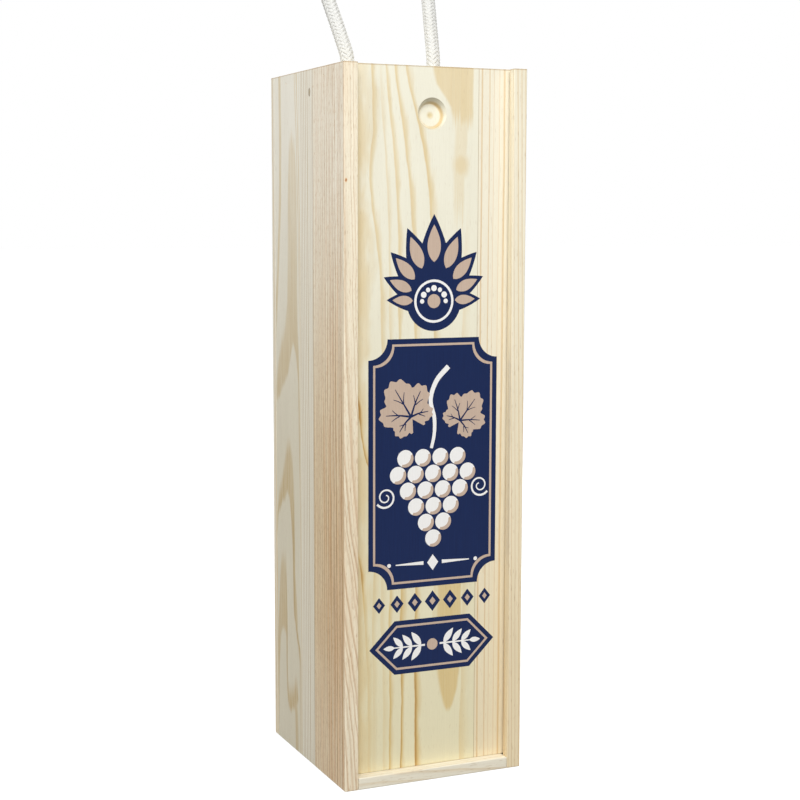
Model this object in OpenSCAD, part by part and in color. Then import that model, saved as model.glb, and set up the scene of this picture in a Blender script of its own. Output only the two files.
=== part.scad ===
// Upright pine box for one wine bottle. A lid slides up out of grooves in the two
// side panels, and a braided cotton rope handle is knotted under the top panel.
// The origin is the middle of the base, the lid faces -Y and +Z is up.

/* [Overall size] */
// Width over the side panels
box_w = 96; // [88:1:120]
// Depth from the front edges to the back face
box_d = 102; // [92:1:130]
// Height of the box without its handle
box_h = 350; // [300:5:420]

/* [Boards] */
// Thickness of the side panels
side_t = 7.2; // [6:0.2:9]
// Thickness of the back panel
back_t = 5; // [4:0.5:8]
// Thickness of the bottom panel
bottom_t = 5.8; // [5:0.2:10]
// Thickness of the top panel
top_t = 9; // [7:0.5:14]
// Radius that sanding leaves along the boards' edges
eased_r = 0.5; // [0.2:0.1:0.8]
// Width of the left panel's front stave
left_stave_w = 41; // [30:1:60]
// Width of the right panel's front stave
right_stave_w = 56; // [30:1:60]
// Width of the back panel's left stave
back_stave_w = 38; // [24:1:60]

/* [Sliding lid] */
// Thickness of the lid
lid_t = 4.8; // [4:0.2:5.6]
// Thickness of the lip in front of each groove
lip_t = 4.5; // [3:0.25:6]
// Width of each groove, front to back
groove_w = 6.5; // [6:0.25:8]
// Depth of each groove into its side panel
groove_depth = 3.5; // [2:0.25:4]
// Room between the lid's edge and the bottom of its groove
lid_side_gap = 0.5; // [0.3:0.1:1]
// Room between the lid and the back of its groove
lid_back_gap = 0.15; // [0.1:0.05:0.4]
// Width of the lid's narrow right stave
lid_stave_w = 19; // [12:1:26]

/* [Finger recess] */
// Diameter of the recess at the lid's face
recess_d = 15; // [12:0.5:20]
// Depth of the recess at its middle
recess_depth = 2.8; // [1.5:0.1:3]
// How far the wall runs in between the rim and the floor
recess_slope = 1.6; // [0.5:0.1:2]
// Lean of the cutter in degrees, which leaves the recess deeper at its top
recess_lean = 8; // [0:1:8]
// Distance from the lid's top edge to the middle of the recess
recess_drop = 23; // [15:1:40]
// Radius of the shallow dent that the cutter's middle leaves
recess_point_r = 1.2; // [0.5:0.1:1.5]
// Depth of that dent
recess_point_depth = 0.3; // [0.1:0.1:0.5]

/* [Rope handle] */
// Diameter of the braided rope
rope_d = 7; // [5:0.5:8]
// Room round the rope in its holes
rope_hole_gap = 0.5; // [0.3:0.1:1]
// Distance between the two rope holes
rope_spacing = 47; // [40:1:50]
// Distance from the back face to the rope holes
rope_from_back = 46; // [40:1:50]
// Room between the top panel and a rope that lies flat on it
rope_rest_gap = 0.3; // [0.2:0.1:0.6]
// Diameter of each overhand knot
knot_d = 17; // [14:0.5:20]
// Distance from the top panel to the middle of a knot
knot_drop = 5.5; // [4:0.5:6]
// Length of the loose tail below a knot
tail_length = 12; // [6:1:20]

/* [Brads and pins] */
// Diameter of a brad
brad_d = 1.2; // [1:0.1:1.6]
// Length of a brad
brad_length = 20; // [15:1:25]
// Diameter of a brad's head
brad_head_d = 2.2; // [2:0.1:3]
// Height of a brad's head
brad_head_h = 0.6; // [0.4:0.1:1]
// Diameter of a headless pin
pin_d = 1; // [0.6:0.1:1.4]
// Length of a headless pin
pin_length = 18; // [14:1:25]
// Depth that brads and pins are set below the face
set_depth = 0.15; // [0.1:0.05:0.5]
// Room round a brad or pin in its bore
bore_gap = 0.02; // [0.01:0.01:0.05]
// Brads down each long edge of the back panel
brad_rows = 4; // [3:1:6]
// Distance from the box's end to the first of those brads
brad_end_margin = 30; // [20:1:50]
// Distance between the two brads in the top or bottom panel
brad_spacing = 34; // [20:1:40]
// Distance from the front face to the front pin
pin_front_margin = 26; // [18:1:30]
// Distance from the back panel to the rear pin
pin_rear_margin = 18; // [12:1:24]

/* [Hidden] */
$fn = 48;

// Planes that the boards share
front_y = -box_d / 2;
rear_y = box_d / 2;
back_panel_y = rear_y - back_t;
inner_x = box_w / 2 - side_t;
groove_front_y = front_y + lip_t;
groove_back_y = groove_front_y + groove_w;
top_under_z = box_h - top_t;

// Lid
lid_back_y = groove_back_y - lid_back_gap;
lid_front_y = lid_back_y - lid_t;
lid_half_w = inner_x + groove_depth - lid_side_gap;
lid_joint_x = lid_half_w - lid_stave_w;
top_front_gap = 0.2;

// Rope
rope_r = rope_d / 2;
rope_hole_r = rope_r + rope_hole_gap;
rope_y = rear_y - rope_from_back;
hinge_z = box_h + rope_rest_gap + rope_r;
rope_sides = 10;
// Half of the handle's route, from the left hole's mouth to the top of the arch:
// sideways from the middle, back from the holes, up from the rope's lowest point
rope_half_route = [
    [-23.5, 0, 0.3], [-23.5, 0, 1.2], [-23.5, 0, 3.5], [-23.8, 0.8, 8.5],
    [-24.6, 3.6, 14.5], [-25.7, 7.8, 22.5], [-27.2, 13.1, 32.5], [-28.6, 18.4, 42.5],
    [-29.6, 23.7, 52.5], [-29.4, 28.6, 61.5], [-27.4, 33, 70], [-23, 37, 77.5],
    [-16.5, 39.9, 83], [-8.5, 41.7, 86.3], [0, 42.3, 87.5]
];

// Fixings
side_edge_x = box_w / 2 - side_t / 2;
top_edge_z = box_h - top_t / 2;
bottom_edge_z = bottom_t / 2;
point_length = 2;
head_cone_h = 0.4;
rows_z = [for (i = [0 : brad_rows - 1])
    brad_end_margin + i * (box_h - 2 * brad_end_margin) / (brad_rows - 1)];
end_brads_x = [-brad_spacing / 2, brad_spacing / 2];
pins_y = [front_y + pin_front_margin, back_panel_y - pin_rear_margin];
far = 2 * max(box_w, box_d, box_h);

// Outline of a board's section with its four corners eased
function eased_outline(x0, x1, y0, y1, r) = [
    for (c = [[x1 - r, y1 - r, 0], [x0 + r, y1 - r, 90], [x0 + r, y0 + r, 180], [x1 - r, y0 + r, 270]])
        for (a = [0, 30, 60, 90])
            [c[0] + r * cos(c[2] + a), c[1] + r * sin(c[2] + a)]
];

// Board from lo to hi with all its edges eased
module board(lo, hi, r = eased_r) {
    intersection() {
        translate([0, 0, lo[2]])
            linear_extrude(hi[2] - lo[2])
                polygon(eased_outline(lo[0], hi[0], lo[1], hi[1], r));
        translate([0, hi[1], 0])
            rotate([90, 0, 0])
                linear_extrude(hi[1] - lo[1])
                    polygon(eased_outline(lo[0], hi[0], lo[2], hi[2], r));
        translate([lo[0], 0, 0])
            rotate([90, 0, 90])
                linear_extrude(hi[0] - lo[0])
                    polygon(eased_outline(lo[1], hi[1], lo[2], hi[2], r));
    }
}

// Everything on one side of a plane, to cut a glued-up panel into its staves
module below_x(x) {
    translate([x - far, -far / 2, -far / 2])
        cube(far);
}

module below_y(y) {
    translate([-far / 2, y - far, -far / 2])
        cube(far);
}

// Brad that points down from its head, or its bore when grow is the room round it
module brad_shape(grow = 0) {
    shank_r = brad_d / 2 + grow;
    head_r = brad_head_d / 2 + grow;
    tip_z = -brad_length - grow;
    rotate_extrude()
        polygon([
            [0, grow], [head_r, grow], [head_r, -brad_head_h],
            [shank_r, -brad_head_h - head_cone_h],
            [shank_r, tip_z + point_length], [0, tip_z]
        ]);
}

// Headless pin that points down, or its bore
module pin_shape(grow = 0) {
    translate([0, 0, -pin_length - grow])
        cylinder(h = pin_length + 2 * grow, r = pin_d / 2 + grow);
}

// Open mouth of a bore above a brad or pin that is set below the face
module set_mouth(r) {
    cylinder(h = 2 * set_depth, r = r);
}

// Brads driven forwards through the back panel at each [x, z]
module back_brads(places) {
    for (p = places)
        translate([p[0], rear_y - set_depth, p[1]])
            rotate([-90, 0, 0])
                brad_shape();
}

module back_bores(places) {
    for (p = places)
        translate([p[0], rear_y - set_depth, p[1]])
            rotate([-90, 0, 0]) {
                brad_shape(bore_gap);
                set_mouth(brad_head_d / 2 + bore_gap);
            }
}

// Pins driven inwards through a side panel at height z, side -1 left and 1 right
module side_pins(side, z) {
    for (y = pins_y)
        translate([side * (box_w / 2 - set_depth), y, z])
            rotate([0, side * 90, 0])
                pin_shape();
}

module side_bores(side, z) {
    for (y = pins_y)
        translate([side * (box_w / 2 - set_depth), y, z])
            rotate([0, side * 90, 0]) {
                pin_shape(bore_gap);
                set_mouth(pin_d / 2 + bore_gap);
            }
}

left_edge_places = [for (z = rows_z) [-side_edge_x, z]];
right_edge_places = [for (z = rows_z) [side_edge_x, z]];
top_places = [for (x = end_brads_x) [x, top_edge_z]];
bottom_places = [for (x = end_brads_x) [x, bottom_edge_z]];

// Left side panel: full height, with the lid's groove down its inner face
module left_panel() {
    difference() {
        board([-box_w / 2, front_y, 0], [-inner_x, back_panel_y, box_h]);
        translate([-inner_x - groove_depth, groove_front_y, -1])
            cube([groove_depth + 1, groove_w, box_h + 2]);
        side_bores(-1, top_edge_z);
        side_bores(-1, bottom_edge_z);
        back_bores(left_edge_places);
    }
}

module right_panel() {
    difference() {
        board([inner_x, front_y, 0], [box_w / 2, back_panel_y, box_h]);
        translate([inner_x - 1, groove_front_y, -1])
            cube([groove_depth + 1, groove_w, box_h + 2]);
        side_bores(1, top_edge_z);
        side_bores(1, bottom_edge_z);
        back_bores(right_edge_places);
    }
}

module left_front_stave() {
    color("burlywood")
        intersection() {
            left_panel();
            below_y(front_y + left_stave_w);
        }
}

module left_rear_stave() {
    color("wheat")
        difference() {
            left_panel();
            below_y(front_y + left_stave_w);
        }
}

module right_front_stave() {
    color("wheat")
        intersection() {
            right_panel();
            below_y(front_y + right_stave_w);
        }
}

module right_rear_stave() {
    color("burlywood")
        difference() {
            right_panel();
            below_y(front_y + right_stave_w);
        }
}

// Back panel, laid over the rear edges of the other boards
module back_panel() {
    difference() {
        board([-box_w / 2, back_panel_y, 0], [box_w / 2, rear_y, box_h]);
        back_bores(left_edge_places);
        back_bores(right_edge_places);
        back_bores(top_places);
        back_bores(bottom_places);
    }
}

module back_left_stave() {
    color("navajowhite")
        intersection() {
            back_panel();
            below_x(-box_w / 2 + back_stave_w);
        }
}

module back_right_stave() {
    color("wheat")
        difference() {
            back_panel();
            below_x(-box_w / 2 + back_stave_w);
        }
}

// Top panel between the sides, behind the lid, with the two rope holes
module top_panel() {
    color("wheat")
        difference() {
            board([-inner_x, groove_back_y + top_front_gap, top_under_z],
                [inner_x, back_panel_y, box_h]);
            for (x = [-rope_spacing / 2, rope_spacing / 2])
                translate([x, rope_y, top_under_z - 1])
                    cylinder(h = top_t + 2, r = rope_hole_r);
            side_bores(-1, top_edge_z);
            side_bores(1, top_edge_z);
            back_bores(top_places);
        }
}

// Bottom panel between the sides, flush with the front; the lid stands on it
module bottom_panel() {
    color("tan")
        difference() {
            board([-inner_x, front_y, 0], [inner_x, back_panel_y, bottom_t]);
            side_bores(-1, bottom_edge_z);
            side_bores(1, bottom_edge_z);
            back_bores(bottom_places);
        }
}

// Blind thumb recess with a sloping wall and a small round at its foot, opening towards +Z at z = 0
module finger_recess() {
    rim_r = recess_d / 2;
    floor_r = rim_r - recess_slope;
    above = 2;
    foot = 0.5;
    slope = recess_slope / recess_depth;
    rotate([-recess_lean, 0, 0])
        rotate_extrude($fn = 96)
            polygon([
                [0, above], [rim_r + slope * above, above], [floor_r + slope * foot, foot - recess_depth],
                [floor_r + slope * foot * 0.15, foot * 0.3 - recess_depth], [floor_r - foot, -recess_depth],
                [recess_point_r, -recess_depth], [0, -recess_depth - recess_point_depth]
            ]);
}

module lid() {
    difference() {
        board([-lid_half_w, lid_front_y, bottom_t], [lid_half_w, lid_back_y, box_h]);
        translate([0, lid_front_y, box_h - recess_drop])
            rotate([90, 0, 0])
                finger_recess();
    }
}

module lid_wide_stave() {
    color("moccasin")
        intersection() {
            lid();
            below_x(lid_joint_x);
        }
}

module lid_narrow_stave() {
    color("burlywood")
        difference() {
            lid();
            below_x(lid_joint_x);
        }
}

// Rope handle: the half route is put in place and mirrored about the middle
function placed(p, side) = [
    side * p[0] * rope_spacing / 2 / 23.5,
    rope_y + p[1],
    box_h + rope_rest_gap + p[2]
];
rope_route = concat(
    [for (p = rope_half_route) placed(p, 1)],
    [for (i = [len(rope_half_route) - 2 : -1 : 0]) placed(rope_half_route[i], -1)]
);

function unit(v) = v / norm(v);

function heading(p, i) = unit(p[min(i + 1, len(p) - 1)] - p[max(i - 1, 0)]);

// The rope's radius, which rounds off over the last stretch at each end
function radius_at(s) = s < rope_r ? sqrt(rope_r * rope_r - (rope_r - s) * (rope_r - s)) : rope_r;

function end_distance(p, i) =
    min(p[i][2] - box_h - rope_rest_gap, norm(p[i] - p[0]) + rope_r, norm(p[i] - p[len(p) - 1]) + rope_r);

function rope_ring(p, i) =
    let (
        t = heading(p, i),
        across = unit(cross(t, [0, 1, 0])),
        up = cross(across, t),
        r = radius_at(end_distance(p, i))
    )
    [for (k = [0 : rope_sides - 1])
        p[i] + r * (cos(360 * k / rope_sides) * across + sin(360 * k / rope_sides) * up)];

module rope_tube(p) {
    n = rope_sides;
    rings = len(p);
    points = [for (i = [0 : rings - 1]) each rope_ring(p, i)];
    walls = [for (i = [0 : rings - 2]) for (k = [0 : n - 1])
        let (a = i * n + k, b = i * n + (k + 1) % n)
        each [[a, b, b + n], [a, b + n, a + n]]];
    first_cap = [for (k = [n - 1 : -1 : 0]) k];
    last_cap = [for (k = [0 : n - 1]) (rings - 1) * n + k];
    polyhedron(points, concat(walls, [first_cap, last_cap]));
}

module rope_loop() {
    color("whitesmoke")
        rope_tube(rope_route);
}

// The stretch of rope inside its hole
module rope_leg(side) {
    color("whitesmoke")
        translate([side * rope_spacing / 2, rope_y, top_under_z])
            cylinder(h = top_t, r = rope_r);
}

// Overhand knot pulled up under the top panel, with its loose tail
module knot(side) {
    color("whitesmoke")
        translate([side * rope_spacing / 2, rope_y, top_under_z])
            difference() {
                union() {
                    translate([0, 0, -knot_drop])
                        sphere(d = knot_d);
                    translate([0, 0, -knot_drop - knot_d / 2 - tail_length])
                        cylinder(h = tail_length + knot_d / 2, r = rope_r);
                }
                translate([-knot_d, -knot_d, 0])
                    cube(2 * knot_d);
            }
}

module rope_leg_left() {
    rope_leg(-1);
}

module rope_leg_right() {
    rope_leg(1);
}

module knot_left() {
    knot(-1);
}

module knot_right() {
    knot(1);
}

module back_brads_left() {
    color("silver")
        back_brads(left_edge_places);
}

module back_brads_right() {
    color("silver")
        back_brads(right_edge_places);
}

module back_brads_top() {
    color("silver")
        back_brads(top_places);
}

module back_brads_bottom() {
    color("silver")
        back_brads(bottom_places);
}

module pins_left_top() {
    color("silver")
        side_pins(-1, top_edge_z);
}

module pins_left_bottom() {
    color("silver")
        side_pins(-1, bottom_edge_z);
}

module pins_right_top() {
    color("silver")
        side_pins(1, top_edge_z);
}

module pins_right_bottom() {
    color("silver")
        side_pins(1, bottom_edge_z);
}

left_front_stave();
left_rear_stave();
right_front_stave();
right_rear_stave();
back_left_stave();
back_right_stave();
top_panel();
bottom_panel();
lid_wide_stave();
lid_narrow_stave();
rope_loop();
rope_leg_left();
rope_leg_right();
knot_left();
knot_right();
back_brads_left();
back_brads_right();
back_brads_top();
back_brads_bottom();
pins_left_top();
pins_left_bottom();
pins_right_top();
pins_right_bottom();
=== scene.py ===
# Upright pine box for one bottle of wine: sides, back, top and bottom nailed and glued up from
# planed staves, a lid that slides up out of two grooves, and a braided cotton rope to carry it by.
import math
import bpy
import numpy as np
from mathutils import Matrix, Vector


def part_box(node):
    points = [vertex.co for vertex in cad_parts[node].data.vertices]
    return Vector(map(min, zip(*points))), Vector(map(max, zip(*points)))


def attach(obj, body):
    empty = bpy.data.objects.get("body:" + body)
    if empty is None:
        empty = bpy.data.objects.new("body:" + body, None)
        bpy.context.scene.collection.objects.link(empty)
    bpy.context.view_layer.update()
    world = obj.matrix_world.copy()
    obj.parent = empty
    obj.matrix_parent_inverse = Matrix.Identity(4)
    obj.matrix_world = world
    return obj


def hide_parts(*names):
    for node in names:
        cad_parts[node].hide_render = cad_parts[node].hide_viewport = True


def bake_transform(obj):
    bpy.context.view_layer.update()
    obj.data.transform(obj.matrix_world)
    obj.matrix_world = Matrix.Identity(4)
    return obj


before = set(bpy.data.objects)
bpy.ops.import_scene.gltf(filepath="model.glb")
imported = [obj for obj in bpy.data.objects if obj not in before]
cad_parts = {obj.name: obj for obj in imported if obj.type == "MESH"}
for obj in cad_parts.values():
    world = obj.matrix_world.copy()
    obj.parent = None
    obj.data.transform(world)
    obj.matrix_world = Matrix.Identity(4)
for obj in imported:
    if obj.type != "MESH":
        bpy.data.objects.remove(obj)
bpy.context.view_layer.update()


# ---------------------------------------------------------------------------------------------
# LEFT SIDE PANEL
# Two planed pine staves glued edge to edge. The front one is close, straight, pinkish heartwood
# and carries the lid's groove; the rear one is paler sapwood sawn flat, with wide arched figure.

mm = 0.001
box_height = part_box("left_front_stave")[1].z / mm


def paint(red, green, blue):
    """A colour as it is mixed on a chart, 0 to 255, turned into the light that it gives back."""
    shares = [value / 255 for value in (red, green, blue)]
    light = [s / 12.92 if s <= 0.04045 else ((s + 0.055) / 1.055) ** 2.4 for s in shares]
    return (*light, 1.0)


def home_of(feeds):
    """The node tree that the feeds come from."""
    return next(feed.id_data for feed in feeds if isinstance(feed, bpy.types.NodeSocket))


def plug(feed, socket):
    """Links a socket to what feeds it, or sets its value."""
    if isinstance(feed, bpy.types.NodeSocket):
        socket.id_data.links.new(feed, socket)
    elif feed is not None:
        socket.default_value = feed


def add_step(kind, *feeds, tree=None, **settings):
    """One shader node, in the tree that feeds it, with its inputs fed in order."""
    step = (tree or home_of(feeds)).nodes.new("ShaderNode" + kind)
    for name, value in settings.items():
        setattr(step, name, value)
    for socket, feed in zip(step.inputs, feeds):
        plug(feed, socket)
    return step


def sums(how, *feeds):
    return add_step("Math", *feeds, operation=how).outputs[0]


def plus(first, second):
    return sums("ADD", first, second)


def less(value, taken):
    return sums("SUBTRACT", value, taken)


def times(first, *others):
    for other in others:
        first = sums("MULTIPLY", first, other)
    return first


def scaled(value, by, added):
    return sums("MULTIPLY_ADD", value, by, added)


def larger(first, second):
    return sums("MAXIMUM", first, second)


def shift(how, *feeds):
    return add_step("VectorMath", *feeds, operation=how).outputs[0]


def stretched(vector, by):
    return shift("SCALE", vector, None, None, by)


def length_of(vector):
    return add_step("VectorMath", vector, operation="LENGTH").outputs[1]


def split(vector):
    return add_step("SeparateXYZ", vector).outputs


def ramp(value, low, high, at_low=0.0, at_high=1.0, how="SMOOTHSTEP"):
    return add_step("MapRange", value, low, high, at_low, at_high, interpolation_type=how).outputs[0]


def apart(first, second):
    return sums("ABSOLUTE", less(first, second))


def near(value, middle, half_width):
    """1 at the middle, falling to 0 at so much to either side."""
    return ramp(apart(value, middle), half_width, 0.0)


def mixed(share, first, second, how="MIX"):
    """Two colours mixed; share is how much of the second one shows."""
    step = add_step("Mix", share, tree=home_of((share, first, second)), data_type="RGBA", blend_type=how)
    plug(first, step.inputs[6])
    plug(second, step.inputs[7])
    return step.outputs[2]


def tinted(share, colour, tint):
    """A colour darkened by a tint; share is how much of the tint shows."""
    return mixed(share, colour, mixed(1.0, colour, tint, "MULTIPLY"))


def noise(place, across, along, seed=0.0, detail=2.0, roughness=0.5):
    """Noise with blots so many mm across the grain and so many mm along it."""
    place = shift("MULTIPLY", place, (1 / across, 1 / across, 1 / along))
    place = shift("ADD", place, seed if isinstance(seed, bpy.types.NodeSocket) else (seed,) * 3)
    return add_step("TexNoise", place, None, 1.0, detail, roughness).outputs[0]


def chart(value, points, bent=True):
    """Reads a value off a curve drawn through these points, each (value, reading)."""
    low_in, high_in = points[0][0], points[-1][0]
    low_out, high_out = min(p[1] for p in points), max(p[1] for p in points)
    spread = high_out - low_out or 1.0
    step = add_step("FloatCurve", 1.0, ramp(value, low_in, high_in, how="LINEAR"))
    curve = step.mapping.curves[0]
    places = [((x - low_in) / (high_in - low_in), (y - low_out) / spread) for x, y in points]
    for x, y in places[1:-1]:
        curve.points.new(x, y)
    curve.points[0].location = places[0]
    curve.points[len(places) - 1].location = places[-1]
    for point in curve.points:
        point.handle_type = "AUTO" if bent else "VECTOR"
    step.mapping.update()
    return scaled(step.outputs[0], spread, low_out)


def new_group(name, needs, gives):
    """An empty shader group, its inputs and its outputs, each one named and given a plain value."""
    tree = bpy.data.node_groups.new(name, "ShaderNodeTree")
    for way, sockets in (("INPUT", needs), ("OUTPUT", gives)):
        for label, value in sockets.items():
            kind = {1: "Float", 3: "Vector", 4: "Color"}[np.size(value)]
            socket = tree.interface.new_socket(label, in_out=way, socket_type="NodeSocket" + kind)
            socket.default_value = value
    return tree, tree.nodes.new("NodeGroupInput").outputs, tree.nodes.new("NodeGroupOutput").inputs


def use_group(group, **feeds):
    """Places a group and feeds it by the names of its inputs."""
    step = add_step("Group", tree=home_of(feeds.values()), node_tree=group)
    for label, feed in feeds.items():
        plug(feed, step.inputs[label.replace("_", " ").capitalize()])
    return step.outputs


nowhere, white = (0, 0, 0), (1, 1, 1, 1)

# Growth rings: how far a spot in the wood lies from the heart of the tree, counted in years. The
# heart's line leans and wanders a little.
rings_group, ins, outs = new_group(
    "growth_rings",
    {"Grain place": nowhere, "Heart": nowhere, "Lean": nowhere, "Year width": 3.0, "Wander": 1.0,
     "Wander length": 90.0, "Uneven": 0.4, "Seed": 0.0},
    {"Ring": 0.0})
wander_breadth = 40
deep, across, along = split(ins["Grain place"])
slow = add_step("CombineXYZ", scaled(deep, 1 / wander_breadth, ins["Seed"]), times(across, 1 / wander_breadth),
                sums("DIVIDE", along, ins["Wander length"])).outputs[0]
drift = add_step("TexNoise", slow, None, 1.0, 3.0, 0.55).outputs[1]
drift = stretched(shift("SUBTRACT", drift, (0.5, 0.5, 0.5)), times(ins["Wander"], 4.0))
offset = shift("ADD", ins["Heart"], stretched(ins["Lean"], along))
offset = shift("ADD", shift("SUBTRACT", ins["Grain place"], offset), drift)
years = sums("DIVIDE", length_of(shift("MULTIPLY", offset, (1, 1, 0))), ins["Year width"])
fat_years = add_step("TexNoise", None, scaled(years, 0.37, ins["Seed"]), 1.0, 2.0, 0.5,
                     noise_dimensions="1D").outputs[0]
uneven = times(less(fat_years, 0.5), times(ins["Uneven"], 4.0))
plug(plus(years, uneven), outs["Ring"])

# Latewood: the dark end of each year. It builds up slowly, stops sharply, and some years are
# stronger and broader than others.
latewood_group, ins, outs = new_group(
    "latewood",
    {"Ring": 0.0, "Share": 0.3, "Sharp": 0.05, "Variation": 0.5, "Seed": 0.0},
    {"Line": 0.0})
year = sums("FLOOR", ins["Ring"])
season = sums("FRACT", ins["Ring"])
lot, lot_width = [add_step("TexWhiteNoise", None, number, noise_dimensions="1D").outputs[0]
                  for number in (plus(year, ins["Seed"]), scaled(ins["Seed"], 3.1, year))]
breadth = scaled(lot_width, times(ins["Variation"], 1.2), scaled(ins["Variation"], -0.6, 1.0))
breadth = times(breadth, ins["Share"])
rise = ramp(season, less(1.0, breadth), scaled(breadth, -0.35, 1.0))
stop = ramp(season, 1.0, less(1.0, ins["Sharp"]))
plug(times(rise, stop, less(1.0, times(lot, ins["Variation"]))), outs["Line"])

# Planed pine: the colour of a spot from its latewood, with streaky fibres, short resin dashes,
# slow blots, painted shade that darkens the lower end, dark glue lines and darker, duller end grain.
pine_group, ins, outs = new_group(
    "planed_pine",
    {"Grain place": nowhere, "Line": 0.0, "Earlywood": white, "Latewood": white, "Foot tint": white,
     "Foot share": 0.0, "Fibre": 0.06, "Dashes": 0.3, "Blots": 0.06, "Glue line": 0.0, "End grain": 0.0,
     "Seed": 0.0},
    {"Color": white, "Roughness": 0.5, "Height": 0.0})
place = ins["Grain place"]
streaks = noise(place, 0.55, 26.0, seed=ins["Seed"], detail=3.0, roughness=0.6)
hairs = noise(place, 0.22, 5.0, seed=ins["Seed"], detail=2.0, roughness=0.6)
blots = noise(place, 11.0, 70.0, seed=ins["Seed"], detail=2.0, roughness=0.5)
dashes = ramp(noise(place, 0.4, 4.5, seed=ins["Seed"], detail=1.0, roughness=0.4), 0.66, 0.74)
wood = mixed(ins["Line"], ins["Earlywood"], ins["Latewood"])
# Painted shade: the lower end is darkened by the tint at the foot.
wood = tinted(ins["Foot share"], wood, ins["Foot tint"])
tone = scaled(plus(scaled(streaks, 1.2, -0.6), scaled(hairs, 0.9, -0.45)), ins["Fibre"], 1.0)
tone = plus(tone, times(less(blots, 0.5), ins["Blots"]))
tone = times(tone, ramp(ins["End grain"], 0.0, 1.0, 1.0, 0.78, "LINEAR"))
# A darker fibre is a warmer one too: its green drops a little more than its red, its blue more yet.
grey = add_step("CombineColor", tone, sums("POWER", tone, 1.12), sums("POWER", tone, 1.35)).outputs[0]
wood = mixed(1.0, wood, grey, "MULTIPLY")
wood = tinted(times(dashes, ins["Dashes"]), wood, paint(196, 170, 138))
plug(tinted(ins["Glue line"], wood, paint(186, 166, 138)), outs["Color"])
dull = scaled(ins["End grain"], 0.15, scaled(ins["Line"], -0.08, 0.58))
plug(scaled(hairs, 0.08, dull), outs["Roughness"])
relief = scaled(ins["Line"], 0.5, scaled(streaks, 0.5, hairs))
plug(scaled(ins["Glue line"], -1.0, scaled(dashes, -0.5, relief)), outs["Height"])

# Pin knot: a twig's end in the board, with a ring of its own colour round it.
knot_group, ins, outs = new_group(
    "pin_knot",
    {"Grain place": nowhere, "Centre": nowhere, "Size": 2.0},
    {"Core": 0.0, "Ring": 0.0})
wobble = add_step("TexNoise", ins["Grain place"], None, 0.9, 2.0, 0.5).outputs[0]
gap = shift("MULTIPLY", shift("SUBTRACT", ins["Grain place"], ins["Centre"]), (1.0, 1.0, 0.6))
gap = sums("DIVIDE", scaled(wobble, 0.8, less(length_of(gap), 0.4)), ins["Size"])
plug(ramp(gap, 0.55, 0.2), outs["Core"])
plug(near(gap, 0.5, 0.2), outs["Ring"])


def new_finish(name):
    """A new material, and the coordinates of the piece that it is on."""
    material = bpy.data.materials.new(name)
    material.use_nodes = True
    return material, material.node_tree.nodes.new("ShaderNodeTexCoord").outputs


def set_finish(material, colour, roughness, gloss=0.5, relief=None, strength=1.0, depth=0.0):
    """Gives a finish its colour, its roughness, its gloss and a relief so many mm deep."""
    nodes = material.node_tree.nodes
    shader = nodes["Principled BSDF"].inputs
    plug(colour, shader["Base Color"])
    plug(roughness, shader["Roughness"])
    plug(gloss, shader["Specular IOR Level"])
    if relief is not None:
        bump = nodes.new("ShaderNodeBump")
        plug(strength, bump.inputs["Strength"])
        plug(depth * mm, bump.inputs["Distance"])
        plug(relief, bump.inputs["Height"])
        plug(bump.outputs[0], shader["Normal"])
    return shader


def begin_board(node, grain_along_x=False):
    """A board's own finish, and the grain's coordinates in mm, with the last one along the grain."""
    material, coordinates = new_finish(node.rsplit("_", 1)[0] + "_pine")
    place, facing = stretched(coordinates["Object"], 1 / mm), coordinates["Normal"]
    if grain_along_x:
        place, facing = [add_step("CombineXYZ", parts[1], parts[2], parts[0]).outputs[0]
                         for parts in (split(place), split(facing))]
    end, parts = sums("ABSOLUTE", split(facing)[2]), split(place)
    board = {"node": node, "material": material, "place": place, "end": ramp(end, 0.25, 0.9)}
    if not grain_along_x:
        # The corner at the top is painted a little darker.
        corner = ramp(parts[2], box_height - 0.8, box_height - 0.4)
        board["burnt"] = times(corner, ramp(end, 0.99, 0.8))
    return board, place, parts


def finish_board(board, spots=(), **feeds):
    """Colours a board and gives it its tinted spots, its gloss and the relief of its fibres."""
    wood = use_group(pine_group, grain_place=board["place"], end_grain=board["end"], **feeds)
    colour = wood["Color"]
    # A darker band along the top corner.
    if "burnt" in board:
        spots = (*spots, (board["burnt"], paint(214, 204, 192)))
    for share, tint in spots:
        colour = tinted(share, colour, tint)
    set_finish(board["material"], colour, wood["Roughness"], 0.3, wood["Height"], strength=0.5, depth=0.06)
    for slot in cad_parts[board["node"]].material_slots:
        slot.material = board["material"]


def year_lines(place, share, sharp, variation, line_seed, **rings):
    """The latewood of years that follow the growth rings."""
    ring = use_group(rings_group, grain_place=place, **rings)["Ring"]
    return use_group(latewood_group, ring=ring, share=share, sharp=sharp, variation=variation,
                     seed=line_seed)["Line"]


side_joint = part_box("left_front_stave")[1].y / mm
front_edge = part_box("left_front_stave")[0].y / mm
corner_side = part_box("left_front_stave")[0].x / mm

board, place, (deep, across, high) = begin_board("left_front_stave")
on_edge = ramp(across, front_edge + 0.75, front_edge + 0.3)
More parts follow.
